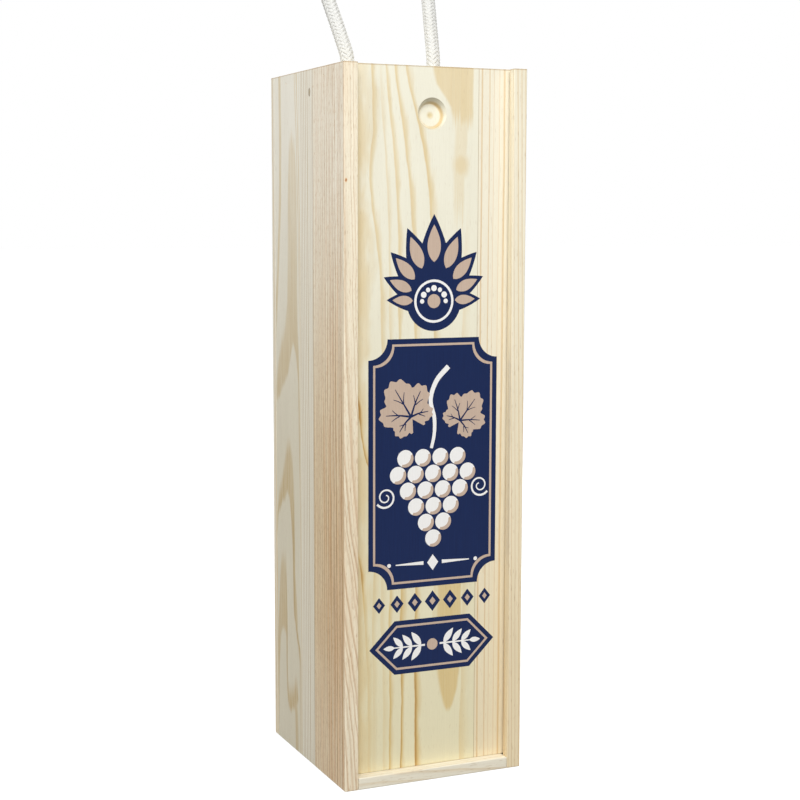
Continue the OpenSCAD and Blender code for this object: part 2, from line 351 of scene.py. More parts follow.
# On the narrow front edge the years lie wider apart and run out slantwise towards the foot.
slant = chart(high, [(0, -15.0), (30, -13.5), (60, -11.0), (100, -7.0), (150, -3.0), (210, -1.0), (350, 0.0)])
slant = times(scaled(less(deep, corner_side), -0.35, slant), on_edge)
grain = shift("ADD", place, add_step("CombineXYZ", slant).outputs[0])
line = year_lines(grain, share=0.55, sharp=0.12, variation=0.6, line_seed=2.0, heart=(23.0, -92.0, 0.0),
                  lean=(0.0, 0.006, 0.0), year_width=1.35, wander=0.6, wander_length=60.0, uneven=0.5, seed=4.0)
patchy = ramp(noise(place, 1.7, 26.0, seed=13.0, detail=4.0, roughness=0.65), 0.3, 0.62, 0.3, 1.05)
softer = ramp(high, 260.0, 120.0, 0.55, 0.6)
line = times(line, ramp(on_edge, 0.0, 1.0, patchy, softer, "LINEAR"))
# Reddish heartwood comes through in soft upright streaks, most of it near the front and the foot.
blush = noise(place, 3.2, 90.0, seed=31.0, detail=4.0, roughness=0.65)
blush = ramp(scaled(ramp(high, 330.0, 90.0), 0.14, blush), 0.5, 0.78)
blush = times(blush, ramp(across, -14.0, -34.0, 0.3, 1.0), scaled(on_edge, -0.6, 1.0))
flecks = ramp(noise(place, 0.4, 3.2, seed=41.0, detail=2.0, roughness=0.6), 0.55, 0.7)
flecks = times(flecks, scaled(on_edge, -0.5, 1.0))
# Painted shade: the stave darkens towards its foot, and so do its latewood lines, least on the narrow front
# edge.
foot = times(ramp(high, box_height * 0.93, 110.0), ramp(high, 5.0, 90.0, 0.75, 1.0),
             scaled(on_edge, -0.75, 1.0))
knot = use_group(knot_group, grain_place=place, centre=(-46.9, -51.0, 295.5), size=1.1)
finish_board(board, line=line, earlywood=paint(253, 245, 226), latewood=paint(208, 176, 141),
             foot_tint=paint(233, 221, 199), foot_share=foot, fibre=0.26, dashes=0.5, blots=0.1, seed=1.3,
             glue_line=near(across, side_joint, 0.35),
             spots=[(blush, paint(246, 227, 209)), (times(line, foot), paint(224, 204, 182)),
                    (flecks, paint(226, 209, 188)), (on_edge, paint(252, 249, 242)),
                    (knot["Core"], paint(190, 125, 80)), (knot["Ring"], paint(238, 205, 165))])

# The rear stave is sawn so flat that its years come out as arches one above the other, with broad
# tan patches where the saw only just cut into them. Each is given by its upper and its lower
# outline as (across, height).
rear_patches = (
    ([(8, 160), (10, 178), (12.5, 212), (13.5, 300), (16, 318), (20, 324), (24, 318), (26, 300), (27.5, 240),
      (31, 226), (36, 219), (41, 210), (46, 194), (51, 178)],
     [(8, 160), (10, 170), (12, 192), (15, 206), (19, 213), (22, 209), (27, 197), (33, 191), (40, 185),
      (46, 180), (51, 170)], 0.52),
    ([(14, 58), (16, 85), (18.5, 100), (19, 138), (21, 158), (25, 166), (28, 166), (31, 160), (35, 150),
      (40, 142), (44, 132), (48, 112), (51, 100)],
     [(14, 62), (18, 68), (20.5, 82), (21, 98), (23, 118), (26, 131), (29, 135), (33, 130), (38, 127),
      (43, 122), (47, 100), (51, 85)], 0.66),
    ([(30, 36), (31, 70), (32, 95), (35, 105), (38, 104), (41, 96), (43, 80), (45, 62), (48, 40), (51, 20)],
     [(30, 41), (31, 50), (33, 58), (37, 60), (40, 58), (43, 50), (46, 32), (51, 10)], 0.6),
    ([(13, 18), (14.5, 34), (16, 40), (18, 41), (21, 36), (25, 33), (28, 33), (30, 36), (33, 31)],
     [(13, 24), (14.5, 26), (16, 24), (18, 21), (21, 20), (25, 18), (29, 18), (33, 38)], 0.7))

# The rest of those years are lines, each given by its run up the board as (height, across), half
# its breadth and how dark it is by height.
rear_years = (
    ([(0, 8.8), (50, 8.8), (110, 9.6), (150, 10.4), (190, 11.2), (215, 12.4), (350, 13.0)], 1.2,
     ((0, 0.2), (100, 0.35), (200, 0.8), (222, 0.0), (350, 0.0))),
    ([(0, 10.6), (40, 10.8), (52, 11.8), (60, 14.5), (68, 17.2), (80, 19.6), (110, 20.2), (350, 20.2)], 2.0,
     ((0, 0.3), (45, 0.45), (60, 0.9), (130, 0.85), (145, 0.0), (350, 0.0))),
    ([(0, 52.0), (110, 50.5), (150, 49.0), (185, 46.5), (350, 46.0)], 1.5,
     ((0, 0.3), (120, 0.5), (180, 0.7), (194, 0.0), (350, 0.0))),
    ([(0, 47.0), (20, 45.6), (40, 44.6), (62, 43.0), (350, 43.0)], 2.4,
     ((0, 0.5), (55, 0.7), (70, 0.0), (350, 0.0))),
    ([(0, 30.0), (28, 30.5), (45, 31.2), (80, 31.6), (100, 32.6), (350, 33.0)], 1.1,
     ((0, 0.0), (22, 0.0), (30, 0.9), (90, 0.9), (106, 0.0), (350, 0.0))),
    ([(0, 16.6), (10, 16.8), (20, 17.2), (30, 18.0), (350, 18.0)], 3.0,
     ((0, 0.6), (22, 0.65), (34, 0.0), (350, 0.0))),
    ([(0, 48.0), (200, 47.8), (225, 45.6), (250, 42.2), (265, 40.2), (280, 38.6), (300, 37.6),
      (350, 37.8)], 2.4, ((0, 0.0), (195, 0.0), (215, 0.5), (300, 0.6), (350, 0.5))),
    ([(0, 49.5), (270, 49.5), (300, 47.6), (350, 47.8)], 1.3, ((0, 0.2), (250, 0.3), (300, 0.55), (350, 0.45))),
    ([(0, 7.0), (250, 8.8), (300, 10.4), (350, 13.2)], 0.8, ((0, 0.0), (170, 0.0), (240, 0.6), (350, 0.6))),
    ([(0, 9.0), (250, 10.8), (300, 12.6), (350, 16.0)], 0.8, ((0, 0.0), (215, 0.0), (260, 0.45), (350, 0.5))))

board, place, (deep, across, high) = begin_board("left_rear_stave")
# Deeper in the board each year lies a little further back and its arches come lower down.
from_face = less(deep, corner_side)
ragged = noise(place, 0.9, 34.0, seed=19.0, detail=4.0, roughness=0.65)
wave = noise(place, 14.0, 26.0, seed=7.0, detail=3.0, roughness=0.5)
laid = plus(scaled(from_face, -0.35, across), scaled(ragged, 1.4, -0.7))
laid = plus(laid, scaled(wave, 1.6, -0.8))
raised = plus(scaled(from_face, 5.0, high), scaled(ragged, 9.0, -4.5))

pin = use_group(knot_group, grain_place=place, centre=(-48.0, -5.6, 338.8), size=2.0)
line = year_lines(place, share=0.23, sharp=0.1, variation=0.35, line_seed=5.0, heart=(-6.0, 45.0, 0.0),
                  lean=(0.0, 0.004, 0.0), year_width=1.65, wander=0.3, wander_length=120.0, uneven=0.3,
                  seed=8.0)
line = times(ramp(line, 0.0, 0.45, 0.0, 1.6, "LINEAR"), ramp(across, 12.0, 6.0))
streaky = ramp(noise(place, 1.3, 45.0, seed=23.0, detail=4.0, roughness=0.7), 0.3, 0.62, 0.75, 1.4)
for upper, lower, strength in rear_patches:
    below_top = less(chart(laid, upper, bent=False), raised)
    above_foot = less(raised, chart(laid, lower, bent=False))
    patch = times(ramp(below_top, -2.0, 10.0), ramp(above_foot, -0.5, 4.0),
                  times(streaky, ramp(above_foot, 70.0, 0.0, 0.75, 1.1)), strength)
    line = larger(line, patch)
for run, breadth, strengths in rear_years:
    in_year = ramp(apart(laid, chart(high, run)), breadth, breadth * 0.3)
    line = larger(line, times(in_year, chart(high, strengths, bent=False), streaky))
# Painted shade: the stave darkens towards its foot, half as much next to its joint.
foot = times(ramp(high, box_height, 130.0), ramp(across, 8.0, 13.0, 0.5, 1.0))
finish_board(board, line=line, earlywood=paint(249, 244, 229), latewood=paint(222, 200, 156),
             foot_tint=paint(231, 227, 216), foot_share=foot, fibre=0.12, dashes=0.25, blots=0.08, seed=8.1,
             glue_line=near(across, side_joint, 0.35),
             spots=[(ramp(line, 0.9, 1.5), paint(214, 200, 176)), (pin["Core"], paint(196, 184, 160)),
                    (pin["Ring"], paint(150, 132, 108))])


# ---------------------------------------------------------------------------------------------
# RIGHT SIDE PANEL
# The left panel's twin, glued up the other way: pale sapwood in front, with the lid's groove, and
# pinkish heartwood behind. Its front edge shows five close dark lines.


def ringed_board(node, years, foot_shade_start, foot_shade_end, joint, joint_axis, joint_width=0.35, **wood):
    """A board that shows its growth rings alone, painted shade towards its foot and a glued joint along one
    edge.
    """
    board, place, parts = begin_board(node)
    # Painted shade: the board darkens between the two heights given for its foot.
    finish_board(board, line=year_lines(place, **years), foot_share=ramp(parts[2], foot_shade_start, foot_shade_end),
                 glue_line=near(parts[joint_axis], joint, joint_width), **wood)


side_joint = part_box("right_front_stave")[1].y / mm

ringed_board("right_front_stave",
             {"share": 0.36, "sharp": 0.1, "variation": 0.55, "line_seed": 3.0, "heart": (-22.0, -18.0, 0.0),
              "lean": (0.004, 0.03, 0.0), "year_width": 1.75, "wander": 0.35, "wander_length": 160.0,
              "uneven": 0.3, "seed": 15.0},
             box_height * 0.95, 10.0, side_joint, 1,
             earlywood=paint(250, 242, 218), latewood=paint(229, 205, 164), foot_tint=paint(248, 238, 222),
             fibre=0.12, dashes=0.35, blots=0.1, seed=21.0)
ringed_board("right_rear_stave",
             {"share": 0.5, "sharp": 0.1, "variation": 0.5, "line_seed": 6.0, "heart": (-8.0, 70.0, 0.0),
              "lean": (0.01, -0.02, 0.0), "year_width": 1.5, "wander": 0.5, "wander_length": 90.0,
              "uneven": 0.35, "seed": 44.0},
             box_height * 0.95, 20.0, side_joint, 1,
             earlywood=paint(244, 231, 209), latewood=paint(221, 192, 157), foot_tint=paint(240, 224, 202),
             fibre=0.15, dashes=0.5, blots=0.14, seed=33.0)


# ---------------------------------------------------------------------------------------------
# BACK PANEL
# Two thinner staves glued edge to edge, let in between the sides and nailed on. Both are sawn
# flat from near the bark, so they carry tall arches.

back_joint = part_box("back_left_stave")[1].x / mm

for node, heart, seed in (("back_left_stave", (-24.0, 12.0, 0.0), 52.0),
                          ("back_right_stave", (19.0, 6.0, 0.0), 71.0)):
    ringed_board(node,
                 {"share": 0.42, "sharp": 0.06, "variation": 0.45, "line_seed": seed, "heart": heart,
                  "lean": (0.012, 0.022, 0.0), "year_width": 2.6, "wander": 1.2, "wander_length": 110.0,
                  "uneven": 0.35, "seed": seed},
                 box_height * 0.95, 10.0, back_joint, 0,
                 earlywood=paint(243, 237, 220), latewood=paint(225, 204, 168), foot_tint=paint(247, 240, 228),
                 fibre=0.09, dashes=0.25, blots=0.1, seed=seed)


# ---------------------------------------------------------------------------------------------
# TOP AND BOTTOM PANELS
# Cut across the box, so their grain runs from side to side and their ends are hidden. The bottom
# comes out flush with the sides' front edges and stops the lid.

for node, heart, early, late in (
        ("top_panel", (-14.0, 372.0, 0.0), paint(243, 235, 214), paint(224, 202, 164)),
        ("bottom_panel", (30.0, -38.0, 0.0), paint(245, 238, 218), paint(234, 219, 191))):
    board, place, parts = begin_board(node, grain_along_x=True)
    line = year_lines(place, share=0.4, sharp=0.08, variation=0.5, line_seed=7.0, heart=heart,
                      lean=(0.05, 0.02, 0.0), year_width=2.3, wander=0.7, wander_length=60.0, uneven=0.35,
                      seed=heart[0])
    finish_board(board, line=line, earlywood=early, latewood=late, fibre=0.16, dashes=0.45, blots=0.1,
                 seed=heart[1])


# ---------------------------------------------------------------------------------------------
# BRADS AND PINS
# Bright wire brads with small heads hold the back on, and headless pins hold the top and bottom
# between the sides. The pins are punched under and stopped with wood filler.

brad_steel, coordinates = new_finish("brad_steel")
fine = add_step("TexNoise", coordinates["Object"], None, 2600.0, 3.0, 0.6).outputs[0]
steel_shader = set_finish(brad_steel, mixed(fine, paint(150, 150, 152), paint(205, 205, 206)),
                          ramp(fine, 0.3, 0.7, 0.5, 0.28))
steel_shader["Metallic"].default_value = 1.0

wood_filler, coordinates = new_finish("wood_filler")
fine = add_step("TexNoise", coordinates["Object"], None, 2200.0, 3.0, 0.6).outputs[0]
set_finish(wood_filler, mixed(fine, paint(222, 204, 176), paint(238, 226, 204)), 0.75)

for node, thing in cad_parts.items():
    if "brads" in node or "pins" in node:
        for slot in thing.material_slots:
            slot.material = brad_steel if "brads" in node else wood_filler


# ---------------------------------------------------------------------------------------------
# ROPE HANDLE
# Seven-millimetre cotton rope, braided from sixteen flat strands over a core. It comes up through
# the two holes in the top and leans back in one tall loop.

rope_size = 7.0
hole_side, hole_back = 23.5, 5.0
top_face = box_height
panel_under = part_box("top_panel")[0].z / mm
route_lift = 0.3

# One half of the loop's route, in mm from the middle between the holes' mouths.
half_route = [
    (-23.5, 0, 0.3), (-23.5, 0, 1.2), (-23.5, 0, 3.5), (-23.8, 0.8, 8.5), (-24.6, 3.6, 14.5),
    (-25.7, 7.8, 22.5), (-27.2, 13.1, 32.5), (-28.6, 18.4, 42.5), (-29.6, 23.7, 52.5), (-29.4, 28.6, 61.5),
    (-27.4, 33, 70), (-23, 37, 77.5), (-16.5, 39.9, 83), (-8.5, 41.7, 86.3), (0, 42.3, 87.5)]


def follow(points, step):
    """Points every `step` mm along a smooth curve through the given ones."""
    points = np.array(points, float)
    ends = np.vstack([2 * points[0] - points[1], points, 2 * points[-1] - points[-2]])
    dense = []
    for a, b, c, d in zip(ends[:-3], ends[1:-2], ends[2:-1], ends[3:]):
        for t in np.arange(0, 1, 0.02):
            dense.append(0.5 * (2 * b + (c - a) * t + (2 * a - 5 * b + 4 * c - d) * t ** 2
                                + (3 * b - a - 3 * c + d) * t ** 3))
    dense = np.array(dense + [points[-1]])
    reached = np.concatenate([[0], np.cumsum(np.linalg.norm(np.diff(dense, axis=0), axis=1))])
    marks = np.linspace(0, reached[-1], int(reached[-1] / step) + 1)
    return np.stack([np.interp(marks, reached, dense[:, k]) for k in range(3)], 1), marks


def way_along(line):
    """The unit vectors in which a line of points runs."""
    way = np.gradient(line, axis=0)
    return way / np.linalg.norm(way, axis=1)[:, None]


def square_to(line):
    """Two sets of unit vectors square to a line of points and to each other, which don't twist."""
    ahead = way_along(line)
    side = np.cross(ahead[0], (0.0, 1.0, 0.1))
    sides = []
    for way in ahead:
        side = side - way * (side @ way)
        side = side / np.linalg.norm(side)
        sides.append(side)
    return np.array(sides), np.cross(ahead, sides)


def ovals(line, wide, thick, half_width, half_thick, count):
    """An oval of so many points round each point of a line."""
    around = np.arange(count) * 2 * math.pi / count
    return (line[:, None] + wide[:, None] * (np.cos(around) * half_width)[None, :, None]
            + thick[:, None] * (np.sin(around) * half_thick)[None, :, None])


def add_skin(corners, faces, rings):
    """Adds a closed skin over a row of rings to the corners and faces."""
    count, sides = rings.shape[:2]
    first = len(corners)
    corners += [tuple(p) for p in rings.reshape(-1, 3) * mm]
    last = first + (count - 1) * sides
    for near_ring in range(first, last, sides):
        far_ring = near_ring + sides
        faces += [(near_ring + k, near_ring + (k + 1) % sides, far_ring + (k + 1) % sides, far_ring + k)
                  for k in range(sides)]
    faces.append(tuple(reversed(range(first, first + sides))))
    faces.append(tuple(range(last, last + sides)))


def braid(name, line, reached, size, strand_sides=8, fray=0.0):
    """A round braid of sixteen strands, each passing over two and under two, laid along a line."""
    side, other = square_to(line)
    carriers = 8
    lay = 2.43 * size
    strand_width, strand_thick = 0.25 * size, 0.1 * size
    middle, swing = 0.415 * size, 0.036 * size
    core_radius, core_sides = 0.44 * size, 12
    frayed_length = 9.0
    frayed = np.clip((reached - reached[-1] + frayed_length) / frayed_length, 0, 1)
    corners, faces = [], []
    for hand in (1, -1):
        for number in range(carriers):
            angle = 2 * math.pi * (number / carriers + hand * reached / lay)
            phase = 2 * number + hand * 2 * carriers * reached / lay
            lift = hand * swing * np.sqrt(2) * np.cos(2 * math.pi * (phase - 0.5) / 4)
            out = side * np.cos(angle)[:, None] + other * np.sin(angle)[:, None]
            spine = line + out * ((middle + lift) * (1 + fray * frayed ** 2))[:, None]
            way = way_along(spine)
            flat = np.cross(way, out)
            flat /= np.linalg.norm(flat, axis=1)[:, None]
            add_skin(corners, faces, ovals(spine, flat, np.cross(flat, way), strand_width / 2, strand_thick / 2,
                                           strand_sides))
    core = ovals(line, side, other, core_radius, core_radius, core_sides)
    add_skin(corners, faces, core[::2])
    mesh = bpy.data.meshes.new(name)
    mesh.from_pydata(corners, [], faces)
    piece = bpy.data.objects.new(name, mesh)
    bpy.context.scene.collection.objects.link(piece)
    for polygon in mesh.polygons:
        polygon.use_smooth = True
    bpy.ops.object.select_all(action="DESELECT")
    bpy.context.view_layer.objects.active = piece
    piece.select_set(True)
    bpy.ops.object.mode_set(mode="EDIT")
    bpy.ops.mesh.select_all(action="SELECT")
    bpy.ops.mesh.normals_make_consistent(inside=False)
    bpy.ops.object.mode_set(mode="OBJECT")
    return piece


mouth = np.array([0, hole_back, top_face + route_lift])
left_half = [np.array(p) + mouth for p in half_route]
right_half = [np.array((-p[0], p[1], p[2])) + mouth for p in reversed(half_route[:-1])]
hole_middle = panel_under + 4.5
in_left_hole = [np.array((-hole_side, hole_back, z)) for z in (panel_under, hole_middle)]
in_right_hole = [np.array((hole_side, hole_back, z)) for z in (hole_middle, panel_under)]
route = in_left_hole + left_half + right_half + in_right_hole
rope_line, rope_marks = follow(route, step=0.6)
rope = braid("rope", rope_line, rope_marks, rope_size)

cotton, coordinates = new_finish("cotton_rope")
fluff = add_step("TexNoise", coordinates["Object"], None, 1900.0, 4.0, 0.65).outputs[0]
soil = add_step("TexNoise", coordinates["Object"], None, 130.0, 2.0, 0.5).outputs[0]
colour = mixed(ramp(fluff, 0.3, 0.7), paint(208, 208, 204), paint(231, 231, 228))
colour = mixed(ramp(soil, 0.45, 0.7, 0.0, 0.25), colour, paint(220, 219, 212))
set_finish(cotton, colour, 0.95, 0.15, fluff, strength=0.6, depth=0.12)
rope.data.materials.append(cotton)

# Each end is tied off under the top in an overhand knot with a short tail. This is the left one's
# route, in mm from its hole's lower mouth. The right one is its mirror image.
knot_route = [
    (0, 0, 3), (0, 0, -1), (-0.5, 0.5, -6), (-0.5, 1, -10.5), (2.5, 1, -14.3), (7, 0, -13.5), (8.5, 0.5, -9),
    (5.5, 4, -5), (-0.5, 6.2, -4), (-5.8, 3, -5), (-6, -2.5, -7), (-1.5, -5.8, -9), (3.6, -3.6, -10.2),
    (4.2, 2, -11.3), (3.5, 5.5, -14), (1.5, 4.5, -19), (0.5, 2.5, -23), (0, 1.5, -25.6)]
tight_size = 6.4
for name, side in (("overhand_knot_left", -1), ("overhand_knot_right", 1)):
    hole = np.array([side * hole_side, hole_back, panel_under])
    knot_line, knot_marks = follow([np.array((-side * x, y, z)) + hole for x, y, z in knot_route], step=0.8)
    knot = braid(name, knot_line, knot_marks, tight_size, strand_sides=6, fray=0.25)
    knot.data.materials.append(cotton)
    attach(knot, "box")
    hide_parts("knot_left" if side < 0 else "knot_right")

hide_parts("rope_loop", "rope_leg_left", "rope_leg_right")
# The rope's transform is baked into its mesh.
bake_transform(rope)


# ---------------------------------------------------------------------------------------------
# LID
# A thin sliding board glued up from one wide stave, sawn flat and very pale, and one narrow
# stave with straight close lines. A shallow round recess near its top is the finger pull.

lid_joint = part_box("lid_wide_stave")[1].x / mm
lid_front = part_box("lid_wide_stave")[0].y / mm

# The wide stave's few years, and a band of painted shade under the left lip, each as its run up the
# board in (height, across), how far its soft side reaches to the right, and how dark it is by height.
lid_years_and_lip_shade = (
    ([(0, -25.3), (45, -25.5), (110, -26.5), (190, -26.0), (240, -26.5), (265, -28.5), (287, -31.3),
      (306, -32.3), (320, -30.7), (350, -31.6)], 4.6, ((0, 0.35), (120, 0.4), (250, 0.8), (350, 0.85))),
    ([(0, -22.0), (45, -22.0), (150, -21.5), (240, -22.0), (287, -23.0), (306, -24.1), (320, -25.4),
      (350, -27.2)], 3.0, ((0, 1.1), (60, 1.05), (200, 0.5), (320, 0.5), (350, 0.15))),
    ([(0, -16.0), (45, -15.7), (150, -16.5), (240, -17.2), (287, -18.2), (306, -19.5), (320, -21.0),
      (339, -23.1), (350, -24.3)], 3.9, ((0, 1.25), (60, 1.2), (130, 0.9), (300, 0.8), (350, 0.75))),
    ([(0, -7.8), (45, -8.5), (110, -8.0), (190, -8.4), (240, -9.2), (287, -11.0), (306, -13.0), (320, -15.0),
      (339, -18.0), (350, -19.6)], 4.6, ((0, 1.3), (60, 1.25), (130, 0.95), (250, 0.85), (350, 0.9))),
    ([(0, 1.0), (80, 1.5), (150, 2.5), (220, 1.5), (260, 0.2), (287, -1.2), (306, -3.4), (320, -6.6),
      (339, -11.5), (350, -14.0)], 5.2, ((0, 0.0), (50, 0.0), (110, 0.6), (250, 0.95), (320, 1.0), (350, 0.8))),
    ([(0, 16.8), (60, 17.4), (110, 18.0), (180, 16.0), (240, 17.0), (285, 19.5), (350, 22.0)], 6.0,
     ((0, 0.6), (60, 0.4), (200, 0.5), (250, 0.3), (285, 0.0), (350, 0.0))),
    # Not a year of the wood: a broad band of painted shade that the left lip casts on the lid.
    ([(0, -41.5), (350, -41.5)], 16.0, ((0, 0.7), (200, 0.9), (295, 1.0), (330, 0.75), (350, 0.5))),
    # Two browner years that run in from under the left lip.
    ([(0, -31.0), (90, -30.5), (120, -30.0), (150, -31.5), (165, -35.0), (185, -38.0), (205, -41.0),
      (350, -45.0)], 4.2, ((0, 0.25), (90, 0.5), (130, 1.0), (190, 1.35), (215, 0.4), (350, 0.0))),
    ([(0, -33.5), (60, -34.0), (85, -35.0), (108, -37.2), (125, -40.0), (350, -48.0)],
     4.0, ((0, 0.55), (80, 0.7), (105, 1.3), (125, 0.9), (350, 0.0))))

board, place, (across, deep, high) = begin_board("lid_wide_stave")
from_joint = near(across, lid_joint, 0.22)
# Deeper in the board the years lie further to the left, as the recess shows.
from_face = less(deep, lid_front)
laid = scaled(from_face, 1.3, across)
wave = scaled(noise(place, 30.0, 24.0, seed=3.0, detail=3.0, roughness=0.55), 2.2, -1.1)
ragged = noise(place, 0.7, 60.0, seed=6.0, detail=4.0, roughness=0.65)
swell = ramp(noise(place, 6.0, 22.0, seed=17.0, detail=2.0, roughness=0.5), 0.3, 0.7, 0.55, 1.25)
line = 0.0
for run, tail, strengths in lid_years_and_lip_shade:
    aside = plus(less(laid, chart(high, run)), wave)
    aside = scaled(ragged, 0.9, less(aside, 0.45))
    soft_side = sums("POWER", ramp(sums("DIVIDE", aside, swell), tail, 0.1), 1.3)
    line = larger(line, times(ramp(aside, -0.45, 0.15), soft_side, chart(high, strengths, bent=False)))

# Where the saw only just cut into a year it shows as a broad patch: one at the top, which breaks
# up downwards along the fibres, and a tongue at the foot. Each is given by its left and its right
# side as (height, across), its lower and its upper end, how gently it starts and how dark it is.
lid_patches = (
    ([(0, 10.5), (326, 10.5), (331, 9.5), (335, 7.0), (342, 1.8), (350, -0.3)], [(0, 21.0), (350, 21.8)],
     324.0, 400.0, 10.0, 0.85),
    ([(0, 11.5), (300, 11.5), (350, 13.0)], [(0, 17.0), (295, 17.5), (310, 18.5), (350, 19.5)],
     280.0, 330.0, 20.0, 0.42),
    ([(0, 10.2), (30, 10.2), (36, 7.6), (43, 5.6), (52, 4.4), (66, 3.6), (110, 3.4), (160, 6.0), (350, 6.0)],
     [(0, 10.7), (30, 10.7), (36, 13.2), (43, 15.0), (52, 16.2), (66, 17.0), (110, 17.4), (160, 14.0),
      (350, 14.0)], 33.0, 130.0, 4.0, 1.0))
patches = 0.0
for left_side, right_side, low_end, high_end, fade, strength in lid_patches:
    from_left = less(laid, chart(high, left_side, bent=False))
    from_right = less(chart(high, right_side, bent=False), laid)
    cut = plus(high, scaled(ragged, 2.4 * fade, -1.2 * fade))
    patch = times(ramp(plus(from_left, wave), -0.8, 1.4), ramp(less(from_right, wave), -0.6, 0.9),
                  ramp(cut, low_end - fade / 2, low_end + fade / 2), ramp(high, high_end + 6.0, high_end - 6.0),
                  ramp(ragged, 0.3, 0.7, 0.82, 1.0), strength)
    patches = larger(patches, patch)
# A small tan spot lies below the recess, on its right.
spot_middle, spot_width, spot_height = (15.4, 0.0, 303.5), 5.0, 7.5
blob = shift("MULTIPLY", shift("SUBTRACT", place, spot_middle), (1 / spot_width, 0.0, 1 / spot_height))
blob = ramp(scaled(ragged, 0.5, length_of(blob)), 1.45, 0.55, 0.0, 0.72)
line = larger(larger(line, patches), blob)
# The cutter's point left a dent in the middle of the recess. Painted shade darkens the crease at
# the foot of the wall a little, most of all on the right.
recess_drop, recess_floor = 23.0, 5.9
off_middle = shift("SUBTRACT", place, (0.0, 0.0, box_height - recess_drop))
off_middle = length_of(shift("MULTIPLY", off_middle, (1.0, 0.0, 1.0)))
point_mark = times(ramp(off_middle, 2.4, 0.6), ramp(from_face, 1.6, 2.4))
# Painted shade in the crease where the recess's wall meets its floor.
crease_shade = times(ramp(apart(off_middle, recess_floor), 1.1, 0.2), ramp(from_face, 0.8, 1.6),
               ramp(across, -5.0, 4.0, 0.3, 1.0))
# Painted shade: the lid darkens towards its foot.
finish_board(board, line=line, earlywood=paint(246, 242, 222), latewood=paint(231, 209, 161),
             foot_tint=paint(248, 243, 224), foot_share=ramp(high, box_height * 0.9, 10.0), fibre=0.07,
             dashes=0.15, blots=0.1, seed=2.2, glue_line=from_joint,
             spots=[(ramp(line, 0.95, 1.35), paint(214, 184, 138)), (point_mark, paint(240, 226, 196)),
                    (crease_shade, paint(238, 216, 180))])

ringed_board("lid_narrow_stave",
             {"share": 0.3, "sharp": 0.08, "variation": 0.5, "line_seed": 9.0, "heart": (-58.0, -24.0, 0.0),
              "lean": (0.003, 0.01, 0.0), "year_width": 2.75, "wander": 0.5, "wander_length": 150.0,
              "uneven": 0.3, "seed": 27.0},
             box_height * 0.9, 10.0, lid_joint, 0, joint_width=0.22,
             earlywood=paint(248, 241, 220), latewood=paint(228, 202, 160), foot_tint=paint(250, 242, 226),
             fibre=0.08, dashes=0.2, blots=0.05, seed=18.0)


# ---------------------------------------------------------------------------------------------
# PRINT ON THE LID
# Flat ink printed straight on the planed wood: a palmette, a tall plate with scooped corners that
# holds a bunch of grapes and two vine leaves, a row of lozenges and a pointed plate with two sprigs.

ink_depth = 0.03
print_middle = 1.3


def on_circle(centre, radius, angle):
    """The point on a circle at an angle in degrees."""
    turn = math.radians(angle)
    return centre[0] + radius * math.cos(turn), centre[1] + radius * math.sin(turn)


def arc(centre, radius, start, end, steps):
    """Points along part of a circle."""
    return [on_circle(centre, radius, angle) for angle in np.linspace(start, end, steps)]


def scooped_plate(middle, width, height, scoop):
    """A rectangle whose four corners are cut out in quarter circles."""
    outline = []
    for across, up, start in ((1, 1, 270), (-1, 1, 0), (-1, -1, 90), (1, -1, 180)):
        corner = (middle[0] + across * width / 2, middle[1] + up * height / 2)
        outline += arc(corner, scoop, start, start - 90, 13)
    return outline


def lozenge(x, z, half_width, half_height):
    return [(x - half_width, z), (x, z + half_height), (x + half_width, z), (x, z - half_height)]


def leaf_outline(base, tip, width, fullness=0.85):
    """A pointed leaf from base to tip, as fat as the fullness says near its base."""
    base, tip = np.array(base, float), np.array(tip, float)
    length = np.linalg.norm(tip - base)
    way = (tip - base) / length
    square = np.array((-way[1], way[0]))
    shares = np.linspace(0, 1, 15)
    half = width / 2 * np.sin(math.pi * shares ** fullness) ** 0.9
    left, right = [[tuple(base + way * length * s + square * side * h) for s, h in zip(shares, half)]
                   for side in (1, -1)]
    return left + right[-2:0:-1]


def stroke_outline(points, start_width, end_width):
    """The outline of a pen stroke that follows these points and changes in width."""
    line = follow([(x, y, 0) for x, y in points], 0.5)[0][:, :2]
    way = way_along(line)
    square = np.stack([-way[:, 1], way[:, 0]], 1)
    half = np.linspace(start_width, end_width, len(line))[:, None] / 2
    return [tuple(p) for p in line + square * half] + [tuple(p) for p in (line - square * half)[::-1]]


def moved(outline, middle, turn=0.0, size=1.0):
    """An outline drawn round (0, 0), scaled, turned and put in its place."""
    c, s = size * math.cos(math.radians(turn)), size * math.sin(math.radians(turn))
    return [(middle[0] + x * c - y * s, middle[1] + x * s + y * c) for x, y in outline]


def ink(name, shapes, layer, finish):
    """One colour's ink on the lid's face. A shape is a list of closed outlines in mm, the later
    ones holes, and each shape lies a hair in front of the one before."""
    printed = []
    for number, outlines in enumerate(shapes):
        drawing = bpy.data.curves.new(name, "CURVE")
        drawing.dimensions = "2D"
        drawing.fill_mode = "BOTH"
        drawing.extrude = ink_depth / 2 * mm
        for outline in outlines:
            spline = drawing.splines.new("POLY")
            spline.points.add(len(outline) - 1)
            for point, (x, z) in zip(spline.points, outline):
                point.co = (x * mm, z * mm, 0, 1)
            spline.use_cyclic_u = True
        shape = bpy.data.objects.new(name, drawing)
        bpy.context.scene.collection.objects.link(shape)
        shape.rotation_euler = (math.pi / 2, 0, 0)
        shape.location = (0, (lid_front - ink_depth * (layer + 0.5) - 0.0004 * number) * mm, 0)
        printed.append(shape)
    bpy.ops.object.select_all(action="DESELECT")
    for shape in printed:
        shape.select_set(True)
    bpy.context.view_layer.objects.active = printed[0]
    bpy.ops.object.convert(target="MESH")
    bpy.ops.object.transform_apply(location=True, rotation=True, scale=True)
    bpy.ops.object.join()
    piece = bpy.context.active_object
    piece.data.materials.append(finish)
    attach(piece, "lid")
    return piece


